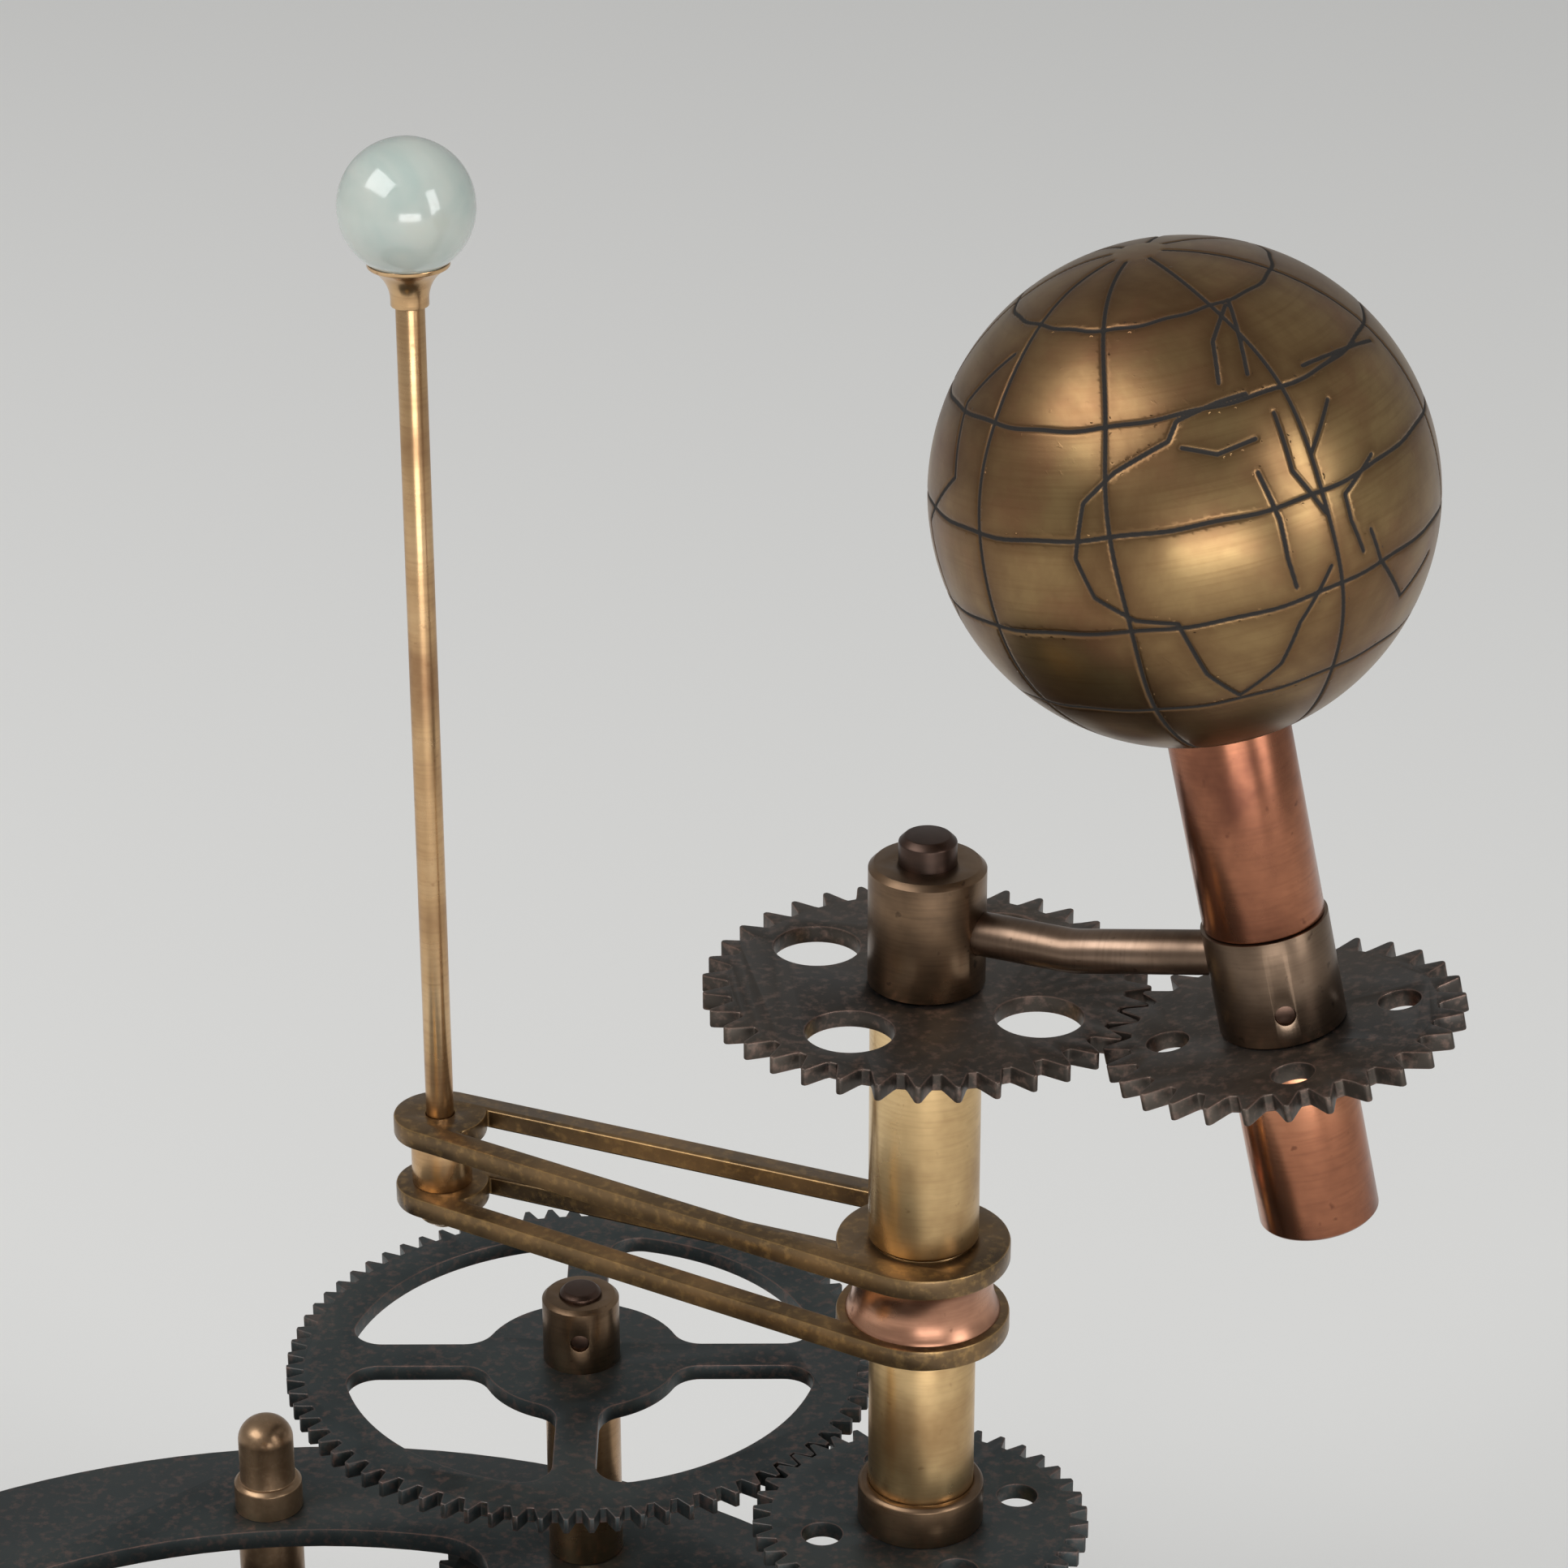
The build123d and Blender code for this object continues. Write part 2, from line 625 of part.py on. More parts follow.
# Moon: a wheel and tube on the column carry two slotted arms and the rod at their end
with BuildPart() as moon_wheel:
    with BuildSketch(column_plane(wheel_bottom)):
        with BuildLine():
            Polyline(*tooth_points(moon_wheel_teeth, train_module, fine_tooth, column_to_arbor), close=True)
        make_face()
        Circle(moon_tube_diameter / 2 + seat_gap, mode=Mode.SUBTRACT)
        with PolarLocations(moon_hole_circle, moon_holes, start_angle=moon_hole_azimuth):
            Circle(moon_hole / 2, mode=Mode.SUBTRACT)
    extrude(amount=gear_thickness)
moon_wheel.part.label = "moon_wheel"
export_step(moon_wheel.part, "parts/moon_wheel.step")

with BuildPart() as moon_wheel_hub:
    with BuildSketch(column_plane(wheel_top)):
        Circle(moon_hub_radius)
        Circle(moon_tube_diameter / 2 + seat_gap, mode=Mode.SUBTRACT)
    extrude(amount=moon_hub_height)
    chamfer(moon_wheel_hub.faces().sort_by(Axis.Z)[-1].outer_wire().edges(), 0.4)
moon_wheel_hub.part.label = "moon_wheel_hub"
export_step(moon_wheel_hub.part, "parts/moon_wheel_hub.step")

with BuildPart() as moon_tube:
    with BuildSketch(column_plane(wheel_bottom)):
        Circle(moon_tube_diameter / 2)
    extrude(amount=arm_washer_bottom - wheel_bottom)
    with BuildSketch(column_plane(arm_washer_bottom)):
        Circle(moon_neck_diameter / 2)
    extrude(amount=upper_arm_top - arm_washer_bottom)
    with BuildSketch(column_plane(wheel_bottom)):
        Circle(column_tube_diameter / 2 + running_gap)
    extrude(amount=upper_arm_top - wheel_bottom, mode=Mode.SUBTRACT)
moon_tube.part.label = "moon_tube"
export_step(moon_tube.part, "parts/moon_tube.step")

with BuildPart() as arm_washer:
    with BuildSketch(column_plane(arm_washer_bottom)):
        Circle(arm_washer_radius)
        Circle(moon_neck_diameter / 2 + seat_gap, mode=Mode.SUBTRACT)
    extrude(amount=arm_washer_thickness)
    chamfer(arm_washer.faces().sort_by(Axis.Z)[0].outer_wire().edges(), 0.5)
arm_washer.part.label = "arm_washer"
export_step(arm_washer.part, "parts/arm_washer.step")

# An arm tapers between its two eyes, and its slot keeps the same rail on both sides
moon_arms = (("lower_moon_arm", lower_arm_bottom), ("upper_moon_arm", upper_arm_bottom))
for arm_name, arm_bottom in moon_arms:
    arm_plane = column_plane(arm_bottom).rotated((0, 0, moon_arm_azimuth))
    with BuildPart() as moon_arm:
        with BuildSketch(arm_plane):
            Circle(moon_arm_eye_radius)
            with Locations((moon_arm_reach, 0)):
                Circle(moon_arm_tip_radius)
            make_hull()
            with BuildSketch(mode=Mode.PRIVATE) as arm_slot:
                Circle(moon_arm_eye_radius - moon_arm_rail)
                with Locations((moon_arm_reach, 0)):
                    Circle(moon_arm_tip_radius - moon_arm_rail)
                make_hull()
                Circle(moon_arm_eye_radius, mode=Mode.SUBTRACT)
                with Locations((moon_arm_reach, 0)):
                    Circle(moon_arm_tip_radius, mode=Mode.SUBTRACT)
            add(arm_slot.sketch, mode=Mode.SUBTRACT)
            Circle(moon_neck_diameter / 2 + seat_gap, mode=Mode.SUBTRACT)
            with Locations((moon_arm_reach, 0)):
                Circle(rod_diameter / 2 + seat_gap, mode=Mode.SUBTRACT)
        extrude(amount=moon_arm_thickness)
    moon_arm.part.label = arm_name
    export_step(moon_arm.part, f"parts/{arm_name}.step")


def profile_plane(plane):
    """The plane's own x and z as the x and y of a profile to be turned about its axis."""
    return Plane(origin=plane.origin, x_dir=plane.x_dir, z_dir=-plane.y_dir)


def turning_axis(plane):
    return Axis(plane.origin, plane.z_dir)


spool_bore = moon_neck_diameter / 2 + seat_gap
with BuildPart() as arm_spool:
    with BuildSketch(profile_plane(column_plane(lower_arm_top))):
        with BuildLine():
            Polyline((spool_radius, 0), (spool_bore, 0), (spool_bore, moon_arm_gap), (spool_radius, moon_arm_gap))
            ThreePointArc(
                (spool_radius, moon_arm_gap), (spool_radius - spool_waist, moon_arm_gap / 2), (spool_radius, 0)
            )
        make_face()
    revolve(axis=turning_axis(column_plane(lower_arm_top)))
arm_spool.part.label = "arm_spool"
export_step(arm_spool.part, "parts/arm_spool.step")

rod_bottom = lower_arm_bottom - rod_nut_height - rod_tail
moon_centre = gear_top + moon_height
cup_rim = moon_centre - sqrt(moon_radius**2 - cup_rim_radius**2)
cup_bottom = cup_rim - cup_height
rod_top = cup_bottom + cup_socket
with BuildPart() as moon_rod:
    with BuildSketch(moon_plane(rod_bottom)):
        Circle(rod_diameter / 2)
    extrude(amount=rod_top - rod_bottom)
    chamfer(moon_rod.faces().sort_by(Axis.Z)[0].edges(), 0.4)
moon_rod.part.label = "moon_rod"
export_step(moon_rod.part, "parts/moon_rod.step")

with BuildPart() as rod_bush:
    with BuildSketch(moon_plane(lower_arm_top)):
        Circle(rod_bush_radius)
        Circle(rod_diameter / 2 + seat_gap, mode=Mode.SUBTRACT)
    extrude(amount=moon_arm_gap)
rod_bush.part.label = "rod_bush"
export_step(rod_bush.part, "parts/rod_bush.step")

with BuildPart() as rod_nut:
    with BuildSketch(moon_plane(lower_arm_bottom - rod_nut_height)):
        Circle(rod_nut_radius)
        Circle(rod_diameter / 2 + seat_gap, mode=Mode.SUBTRACT)
    extrude(amount=rod_nut_height)
    chamfer(rod_nut.faces().sort_by(Axis.Z)[0].outer_wire().edges(), 0.5)
rod_nut.part.label = "rod_nut"
export_step(rod_nut.part, "parts/rod_nut.step")

# The cup flares like a trumpet and holds the Moon on a ring of its own curve
socket_radius = rod_diameter / 2 + seat_gap
seat_radius = moon_radius + seat_gap
seat_bottom = moon_centre - cup_bottom - seat_radius
seat_rim = moon_centre - cup_bottom - sqrt(seat_radius**2 - cup_rim_radius**2)
seat_middle = cup_rim_radius / 2
seat_middle_height = moon_centre - cup_bottom - sqrt(seat_radius**2 - seat_middle**2)
with BuildPart() as moon_cup:
    with BuildSketch(profile_plane(moon_plane(cup_bottom))):
        with BuildLine():
            Polyline((cup_stem_radius, cup_lip), (cup_stem_radius, 0), (socket_radius, 0))
            Polyline((socket_radius, 0), (socket_radius, cup_socket), (0, cup_socket), (0, seat_bottom))
            ThreePointArc((0, seat_bottom), (seat_middle, seat_middle_height), (cup_rim_radius, seat_rim))
            Line((cup_rim_radius, seat_rim), (cup_rim_radius, seat_rim - cup_lip))
            RadiusArc((cup_rim_radius, seat_rim - cup_lip), (cup_stem_radius, cup_lip), -cup_flare)
        make_face()
    revolve(axis=turning_axis(moon_plane(cup_bottom)))
moon_cup.part.label = "moon_cup"
export_step(moon_cup.part, "parts/moon_cup.step")

with BuildPart() as moon_ball:
    with Locations(moon_plane(moon_centre)):
        Sphere(moon_radius)
moon_ball.part.label = "moon_ball"
export_step(moon_ball.part, "parts/moon_ball.step")

# Earth arm: the spindle turns inside the column and carries the hub and the bent arm
spindle_top = hub_top + spindle_end
with BuildPart() as arm_spindle:
    with BuildSketch(column_plane(lower_plate_bottom)):
        Circle(spindle_diameter / 2)
    extrude(amount=spindle_top - lower_plate_bottom)
    chamfer(arm_spindle.faces().sort_by(Axis.Z)[-1].edges(), 0.7)
arm_spindle.part.label = "arm_spindle"
export_step(arm_spindle.part, "parts/arm_spindle.step")

arm_wheel_gap = column_to_arbor + half_tooth(arm_wheel_teeth)
with BuildPart() as arm_wheel:
    with BuildSketch(column_plane(arm_wheel_bottom)):
        with BuildLine():
            Polyline(*tooth_points(arm_wheel_teeth, train_module, fine_tooth, arm_wheel_gap), close=True)
        make_face()
        Circle(spindle_diameter / 2 + seat_gap, mode=Mode.SUBTRACT)
    extrude(amount=gear_thickness)
arm_wheel.part.label = "arm_wheel"
export_step(arm_wheel.part, "parts/arm_wheel.step")

with BuildPart() as arm_wheel_hub:
    with BuildSketch(column_plane(arm_wheel_bottom - small_hub_height)):
        Circle(small_hub_radius)
        Circle(spindle_diameter / 2 + seat_gap, mode=Mode.SUBTRACT)
    extrude(amount=small_hub_height)
arm_wheel_hub.part.label = "arm_wheel_hub"
export_step(arm_wheel_hub.part, "parts/arm_wheel_hub.step")

# The bent arm leaves the hub level and meets the tilted collar square on
arm_seat = earth_gear_centre + axle_direction * bent_arm_seat
bend_x = column_x + arm_direction.X * bent_arm_bend
bend_y = column_y + arm_direction.Y * bent_arm_bend
bend_drop = (arm_seat.X - bend_x) * axle_direction.X + (arm_seat.Y - bend_y) * axle_direction.Y
bend_height = arm_seat.Z + bend_drop / axle_direction.Z
arm_bend = Vector(bend_x, bend_y, bend_height)
arm_root = Vector(column_x, column_y, bend_height)
tilted_run = (arm_seat - arm_bend).normalized()
arm_start = arm_root + arm_direction * (spindle_diameter / 2 + bent_arm_clearance)
arm_end = arm_seat - tilted_run * (axle_diameter / 2 + bent_arm_clearance)
with BuildPart() as bent_arm:
    with BuildLine():
        FilletPolyline(arm_start, arm_bend, arm_end, radius=bent_arm_bend_radius)
    with BuildSketch(Plane(origin=arm_start, z_dir=arm_direction)):
        Circle(bent_arm_diameter / 2)
    sweep()
bent_arm.part.label = "bent_arm"
export_step(bent_arm.part, "parts/bent_arm.step")

screw_direction = Vector(cos(radians(hub_screw_azimuth)), sin(radians(hub_screw_azimuth)), 0)
with BuildPart() as arm_hub:
    with BuildSketch(column_plane(hub_bottom)):
        Circle(hub_diameter / 2)
    extrude(amount=arm_hub_height)
    chamfer(arm_hub.faces().sort_by(Axis.Z)[-1].edges(), 0.6)
    with BuildSketch(column_plane(hub_bottom)):
        Circle(spindle_diameter / 2 + seat_gap)
    extrude(amount=arm_hub_height, mode=Mode.SUBTRACT)
    with BuildSketch(Plane(origin=arm_root, z_dir=arm_direction)):
        Circle(bent_arm_diameter / 2 + seat_gap)
    extrude(amount=hub_diameter, mode=Mode.SUBTRACT)
    with BuildSketch(Plane(origin=arm_root, z_dir=screw_direction)):
        Circle(set_screw_radius + seat_gap)
    extrude(amount=hub_diameter, mode=Mode.SUBTRACT)
arm_hub.part.label = "arm_hub"
export_step(arm_hub.part, "parts/arm_hub.step")

hub_screw_start = spindle_diameter / 2 + seat_gap
with BuildPart() as arm_hub_screw:
    with BuildSketch(Plane(origin=arm_root + screw_direction * hub_screw_start, z_dir=screw_direction)):
        Circle(set_screw_radius)
    extrude(amount=hub_diameter / 2 - set_screw_recess - hub_screw_start)
arm_hub_screw.part.label = "arm_hub_screw"
export_step(arm_hub_screw.part, "parts/arm_hub_screw.step")

collar_screw_point = earth_gear_centre + axle_direction * collar_screw_place
level_direction = Vector(cos(radians(collar_screw_azimuth)), sin(radians(collar_screw_azimuth)), 0)
collar_screw_direction = (
    level_direction - axle_direction * level_direction.dot(axle_direction)
).normalized()
with BuildPart() as axle_collar:
    with BuildSketch(axle_plane(collar_start)):
        Circle(collar_diameter / 2)
        Circle(axle_diameter / 2 + running_gap, mode=Mode.SUBTRACT)
    extrude(amount=collar_end - collar_start)
    with BuildSketch(Plane(origin=arm_seat, z_dir=-tilted_run)):
        Circle(bent_arm_diameter / 2 + seat_gap)
    extrude(amount=collar_diameter, mode=Mode.SUBTRACT)
    with BuildSketch(Plane(origin=collar_screw_point, z_dir=collar_screw_direction)):
        Circle(set_screw_radius + seat_gap)
    extrude(amount=collar_diameter, mode=Mode.SUBTRACT)
axle_collar.part.label = "axle_collar"
export_step(axle_collar.part, "parts/axle_collar.step")

collar_screw_start = axle_diameter / 2 + bent_arm_clearance
collar_screw_origin = collar_screw_point + collar_screw_direction * collar_screw_start
with BuildPart() as collar_screw:
    with BuildSketch(Plane(origin=collar_screw_origin, z_dir=collar_screw_direction)):
        Circle(set_screw_radius)
    extrude(amount=collar_diameter / 2 - set_screw_recess - collar_screw_start)
collar_screw.part.label = "collar_screw"
export_step(collar_screw.part, "parts/collar_screw.step")

# Earth: the gear, two barrels and the globe are one turning axle in the collar
gear_half = gear_thickness / 2
axle_bottom = -gear_half - lower_barrel_length
axle_top = globe_distance - globe_radius + axle_engagement
with BuildPart() as earth_axle:
    with BuildSketch(axle_plane(axle_bottom)):
        Circle(axle_diameter / 2)
    extrude(amount=axle_top - axle_bottom)
earth_axle.part.label = "earth_axle"
export_step(earth_axle.part, "parts/earth_axle.step")

with BuildPart() as earth_globe:
    with Locations(axle_plane(globe_distance)):
        Sphere(globe_radius)
        Sphere(globe_radius - globe_wall, mode=Mode.SUBTRACT)
    with BuildSketch(axle_plane(globe_distance - globe_radius)):
        Circle(axle_diameter / 2 + seat_gap)
    extrude(amount=2 * globe_wall, mode=Mode.SUBTRACT)
earth_globe.part.label = "earth_globe"
export_step(earth_globe.part, "parts/earth_globe.step")

barrel_bottom = collar_end + end_play
with BuildPart() as upper_barrel:
    with BuildSketch(axle_plane(barrel_bottom)):
        Circle(barrel_diameter / 2)
        Circle(axle_diameter / 2 + seat_gap, mode=Mode.SUBTRACT)
    extrude(amount=globe_distance - globe_radius + barrel_engagement - barrel_bottom)
    with Locations(axle_plane(globe_distance)):
        Sphere(globe_radius + seat_gap, mode=Mode.SUBTRACT)
upper_barrel.part.label = "upper_barrel"
export_step(upper_barrel.part, "parts/upper_barrel.step")

with BuildPart() as earth_gear:
    with BuildSketch(axle_plane(-gear_half)):
        with BuildLine():
            earth_gear_gap = 180 + half_tooth(earth_gear_teeth)
            Polyline(*tooth_points(earth_gear_teeth, earth_module, pointed_tooth, earth_gear_gap), close=True)
        make_face()
        Circle(axle_diameter / 2 + seat_gap, mode=Mode.SUBTRACT)
        with PolarLocations(earth_hole_circle, earth_holes, start_angle=earth_hole_azimuth):
            Circle(earth_hole / 2, mode=Mode.SUBTRACT)
    extrude(amount=gear_thickness)
earth_gear.part.label = "earth_gear"
export_step(earth_gear.part, "parts/earth_gear.step")

with BuildPart() as lower_barrel:
    with BuildSketch(axle_plane(axle_bottom)):
        Circle(barrel_diameter / 2)
    extrude(amount=lower_barrel_length)
    chamfer(lower_barrel.faces().sort_by(Axis.Z)[0].edges(), 0.4)
    with BuildSketch(axle_plane(axle_bottom)):
        Circle(axle_diameter / 2 + seat_gap)
    extrude(amount=lower_barrel_length, mode=Mode.SUBTRACT)
lower_barrel.part.label = "lower_barrel"
export_step(lower_barrel.part, "parts/lower_barrel.step")

end_nut_plane = axle_plane(axle_bottom)
end_nut_crown = end_nut_height - end_nut_rim
end_nut_dome = (end_nut_radius**2 + end_nut_crown**2) / (2 * end_nut_crown)
with BuildPart() as end_nut:
    with BuildSketch(profile_plane(end_nut_plane)):
        with BuildLine():
            Polyline((0, -end_nut_height), (0, 0), (end_nut_radius, 0), (end_nut_radius, -end_nut_rim))
            RadiusArc((end_nut_radius, -end_nut_rim), (0, -end_nut_height), end_nut_dome)
        make_face()
    revolve(axis=turning_axis(end_nut_plane))
end_nut.part.label = "end_nut"
export_step(end_nut.part, "parts/end_nut.step")
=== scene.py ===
"""The finish of a table orrery: worn bronze wheels, turned brass, copper barrels, an engraved globe."""

import json
import math

import bpy
import numpy as np
from mathutils import Matrix, Vector


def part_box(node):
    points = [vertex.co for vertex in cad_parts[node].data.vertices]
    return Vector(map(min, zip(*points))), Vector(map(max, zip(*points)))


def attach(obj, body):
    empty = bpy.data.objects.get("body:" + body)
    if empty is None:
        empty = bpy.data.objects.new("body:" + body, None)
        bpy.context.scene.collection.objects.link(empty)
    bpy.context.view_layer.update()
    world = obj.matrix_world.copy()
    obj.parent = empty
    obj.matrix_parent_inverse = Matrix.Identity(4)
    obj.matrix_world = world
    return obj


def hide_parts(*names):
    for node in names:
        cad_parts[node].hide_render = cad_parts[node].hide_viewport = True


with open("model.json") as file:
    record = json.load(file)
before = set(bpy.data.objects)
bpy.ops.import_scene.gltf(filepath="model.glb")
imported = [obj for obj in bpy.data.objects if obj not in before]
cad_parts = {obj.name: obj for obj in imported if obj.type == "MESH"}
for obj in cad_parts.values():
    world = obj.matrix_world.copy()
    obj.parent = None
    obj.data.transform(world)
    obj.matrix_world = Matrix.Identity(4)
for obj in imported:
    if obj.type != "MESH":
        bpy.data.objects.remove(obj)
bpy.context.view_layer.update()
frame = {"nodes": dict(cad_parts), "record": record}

MM = 0.001
up = (0, 0, 1)
joints = {joint["name"]: joint for joint in frame["record"]["behaviour"]["joints"]}
bodies = frame["record"]["behaviour"]["bodies"]
slots = {part["node"]: part["material_slot"] for part in frame["record"]["subparts"]}
body_of_node = {node: body for body, nodes in bodies.items() for node in nodes}

# Places read from the frame
stand_axis = (0, 0, 0)
column_axis = Vector(joints["earth_arm_turn"]["pos_m"])
arbor_axis = Vector(joints["month_turn"]["pos_m"])
earth_gear_centre = Vector(joints["earth_spin"]["pos_m"])
earth_axis = Vector(joints["earth_spin"]["axis"]).normalized()
globe_low, globe_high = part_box("earth_globe")
globe_centre = (globe_low + globe_high) / 2
globe_radius = 25.4 * MM
moon_low, moon_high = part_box("moon_ball")
moon_centre = (moon_low + moon_high) / 2
moon_radius = (moon_high.z - moon_low.z) / 2
bent_arm_run = (0.915, -0.402, 0.05)

# The globe's east and front, with the front on the side of the photograph's camera
camera_side = Vector((0, -1, 0))
globe_east = earth_axis.cross(camera_side).normalized()
globe_front = globe_east.cross(earth_axis).normalized()


# Materials

class Finish:
    """A node material built step by step; each call adds one node and links it."""

    def __init__(self, name):
        self.material = bpy.data.materials.new(name)
        self.material.use_nodes = True
        self.tree = self.material.node_tree
        self.shader = self.tree.nodes["Principled BSDF"]

    def node(self, kind, **values):
        made = self.tree.nodes.new(kind)
        for key, value in values.items():
            setattr(made, key, value)
        return made

    def link(self, source, target):
        self.tree.links.new(source, target)

    def feed(self, socket, value):
        """Links another node's output to a socket, or sets the socket to a number or a colour."""
        if isinstance(value, bpy.types.NodeSocket):
            self.link(value, socket)
        elif isinstance(value, tuple):
            socket.default_value = (*value, 1)
        else:
            socket.default_value = value

    def set(self, **values):
        for name, value in values.items():
            self.feed(self.shader.inputs[name.replace("_", " ")], value)

    def coordinates(self, centre=(0, 0, 0), direction=up, scale=(1, 1, 1)):
        """Object coordinates moved to a centre and turned so that a direction becomes Z."""
        place = self.node("ShaderNodeTexCoord").outputs["Object"]
        turn = Vector(direction).rotation_difference(Vector(up))
        turned = self.node("ShaderNodeMapping", vector_type="POINT")
        turned.inputs["Rotation"].default_value = turn.to_euler()
        turned.inputs["Location"].default_value = -(turn @ Vector(centre))
        self.link(place, turned.inputs["Vector"])
        stretched = self.node("ShaderNodeMapping", vector_type="POINT")
        stretched.inputs["Scale"].default_value = scale
        self.link(turned.outputs["Vector"], stretched.inputs["Vector"])
        return stretched.outputs["Vector"]

    def noise(self, place, scale, detail=4.0, roughness=0.55, distortion=0.0):
        made = self.node("ShaderNodeTexNoise")
        made.inputs["Scale"].default_value = scale
        made.inputs["Detail"].default_value = detail
        made.inputs["Roughness"].default_value = roughness
        made.inputs["Distortion"].default_value = distortion
        self.link(place, made.inputs["Vector"])
        return made.outputs["Fac"]

    def attribute(self, name):
        return self.node("ShaderNodeAttribute", attribute_name=name).outputs["Fac"]

    def ramp(self, factor, stops):
        """A colour for each factor, from stops of a position and a colour."""
        made = self.node("ShaderNodeValToRGB")
        elements = made.color_ramp.elements
        while len(elements) < len(stops):
            elements.new(0.5)
        for element, (position, colour) in zip(elements, stops):
            element.position = position
            element.color = (*colour, 1)
        self.link(factor, made.inputs["Fac"])
        return made.outputs["Color"]

    def level(self, factor, low, high, from_low=0.0, from_high=1.0):
        """Maps a factor between from_low and from_high to a value between low and high."""
        made = self.node("ShaderNodeMapRange", clamp=True)
        made.inputs["From Min"].default_value = from_low
        made.inputs["From Max"].default_value = from_high
        made.inputs["To Min"].default_value = low
        made.inputs["To Max"].default_value = high
        self.link(factor, made.inputs["Value"])
        return made.outputs["Result"]

    def mix(self, factor, first, second):
        """The first colour where the factor is 0, and the second where it is 1."""
        made = self.node("ShaderNodeMix", data_type="RGBA")
        factor_socket, first_socket, second_socket = (made.inputs[number] for number in (0, 6, 7))
        self.feed(factor_socket, factor)
        self.feed(first_socket, first)
        self.feed(second_socket, second)
        return made.outputs[2]

    def maths(self, operation, first, second):
        made = self.node("ShaderNodeMath", operation=operation)
        self.feed(made.inputs[0], first)
        self.feed(made.inputs[1], second)
        return made.outputs["Value"]

    def bump(self, height, strength, distance, under=None):
        """A relief, laid over an earlier one where under is given."""
        made = self.node("ShaderNodeBump")
        made.inputs["Strength"].default_value = strength
        made.inputs["Distance"].default_value = distance
        self.link(height, made.inputs["Height"])
        if under is not None:
            self.link(under, made.inputs["Normal"])
        return made.outputs["Normal"]

    def edge_mask(self, radius, low, high):
        """1 on worn outer edges and 0 on flat faces, by how far a rounded normal leans."""
        rounded = self.node("ShaderNodeBevel", samples=6)
        rounded.inputs["Radius"].default_value = radius
        flat = self.node("ShaderNodeNewGeometry").outputs["Normal"]
        dot = self.node("ShaderNodeVectorMath", operation="DOT_PRODUCT")
        self.link(rounded.outputs["Normal"], dot.inputs[0])
        self.link(flat, dot.inputs[1])
        return self.level(dot.outputs["Value"], 1.0, 0.0, low, high)


def patina_bronze(name, face, shade, edge, tint, roughness=(0.32, 0.55)):
    """Blackened bronze plate: dark cloudy faces with brown metal showing on the worn edges."""
    finish = Finish(name)
    place = finish.coordinates()
    clouds = finish.noise(place, 60, 6, 0.6)
    grain = finish.noise(place, 900, 3, 0.6)
    gaps = finish.level(finish.noise(place, 350, 4), 0.55, 1.0, 0.35, 0.6)
    body = finish.ramp(clouds, ((0.32, shade), (0.52, face), (0.72, tint)))
    speckled = finish.mix(finish.level(grain, 0.0, 0.35, 0.5, 0.75), body, edge)
    worn = finish.maths("MULTIPLY", finish.edge_mask(0.35 * MM, 0.80, 0.995), gaps)
    finish.set(Base_Color=finish.mix(worn, speckled, edge), Metallic=0.85)
    finish.set(Roughness=finish.level(clouds, *roughness, 0.3, 0.7))
    fine_relief = finish.bump(grain, 0.25, 0.03 * MM)
    finish.set(Normal=finish.bump(clouds, 0.15, 0.2 * MM, fine_relief))
    return finish.material


def turned_metal(name, bright, middle, dark, centre, direction=up, roughness=(0.38, 0.18)):
    """Metal from the lathe: fine rings round the axis, cloudy tarnish and small dark specks."""
    finish = Finish(name)
    place = finish.coordinates(centre, direction)
    clouds = finish.noise(place, 45, 5, 0.6)
    rings = finish.noise(finish.coordinates(centre, direction, (0.08, 0.08, 1)), 2600, 2, 0.5)
    specks = finish.noise(place, 700, 2, 0.5)
    body = finish.ramp(clouds, ((0.30, dark), (0.50, middle), (0.72, bright)))
    lined = finish.mix(finish.level(rings, 0.0, 0.30, 0.45, 0.8), body, dark)
    dotted = finish.mix(finish.level(specks, 0.0, 0.7, 0.68, 0.76), lined, dark)
    finish.set(Base_Color=dotted, Metallic=1.0)
    finish.set(Roughness=finish.level(clouds, *roughness, 0.3, 0.7))
    ring_relief = finish.bump(rings, 0.22, 0.02 * MM)
    finish.set(Normal=finish.bump(clouds, 0.10, 0.15 * MM, ring_relief))
    return finish.material


